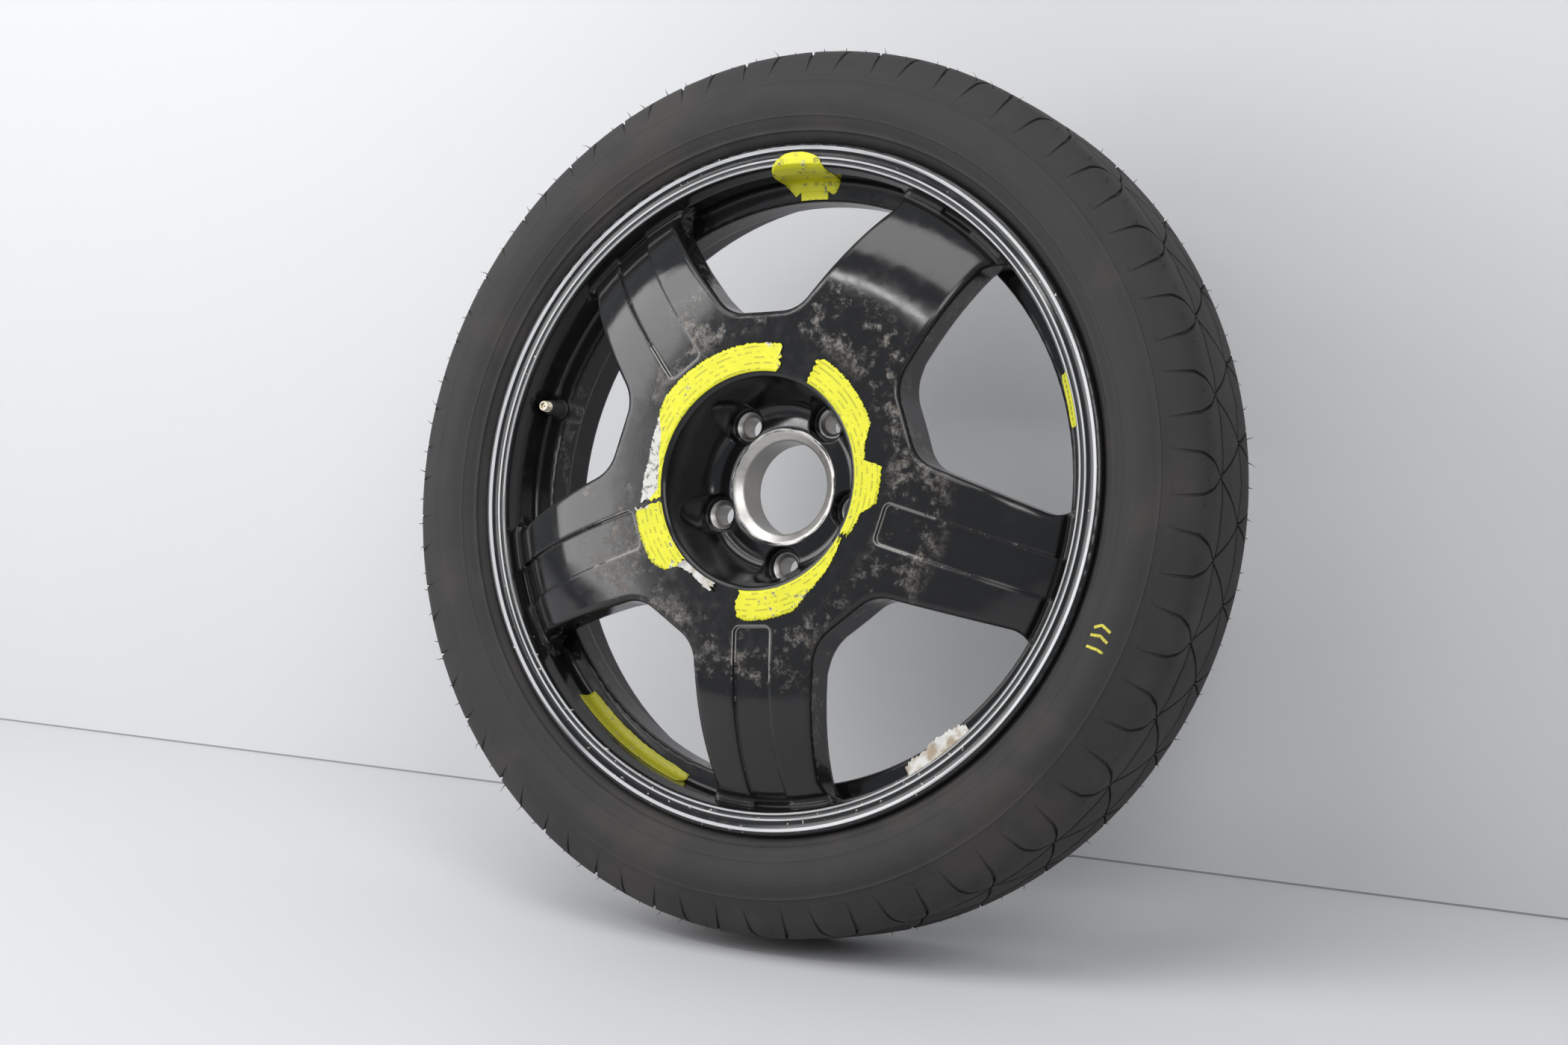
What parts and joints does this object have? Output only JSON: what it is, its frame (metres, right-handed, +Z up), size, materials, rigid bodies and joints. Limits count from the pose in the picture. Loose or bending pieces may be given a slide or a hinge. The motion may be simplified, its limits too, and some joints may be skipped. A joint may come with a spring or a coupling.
{
  "type": "temporary spare wheel",
  "caption": "Temporary spare car wheel: narrow tyre on a black cast alloy wheel with broad spokes, an air valve without its cap and torn yellow labels.",
  "frame": {"origin": "on the axle, at the hub's mounting face, which is the plane of the bolt circle's back ends", "axes": "+Y along the axle towards the car, so the outer face looks to -Y; +Z up with one spoke pointing straight down; the valve is at the left seen from outside"},
  "size_m": [0.632, 0.1454, 0.632],
  "materials": {
    "wheel_paint": "gloss black paint on cast aluminium, worn",
    "tyre": "dry matt rubber",
    "valve_rubber": "matt",
    "valve_metal": "dull, nickel worn off",
    "seal": "matt",
    "spring_steel": "drawn wire",
    "label_yellow": "satin film",
    "label_olive": "worn film",
    "label_paper": "torn paper"
  },
  "bodies": {
    "wheel": {"alloy_wheel": "wheel_paint", "tyre": "tyre", "valve_body": "valve_rubber", "valve_stem": "valve_metal", "valve_core": "valve_metal", "core_gasket": "seal", "valve_spring": "spring_steel", "hub_label_scrap": "label_paper", "rim_label_lower": "label_olive", "torn_label": "label_paper", "hub_label_upper": "label_yellow", "hub_label_lower_left": "label_yellow", "hub_label_right": "label_yellow", "hub_label_bottom": "label_yellow", "pressure_label": "label_yellow", "rim_label_right": "label_yellow"},
    "pin": {"valve_pin": "valve_metal", "poppet_seal": "seal"}
  },
  "joints": [
    {"name": "valve_pin_press", "type": "slide", "parent": "wheel", "child": "pin", "axis": [0, 1, 0], "range_m": [0, 0.0013], "stiffness_N_per_m": 1500, "springref_m": -0.0008, "deforming": ["valve_spring"]}
  ]
}
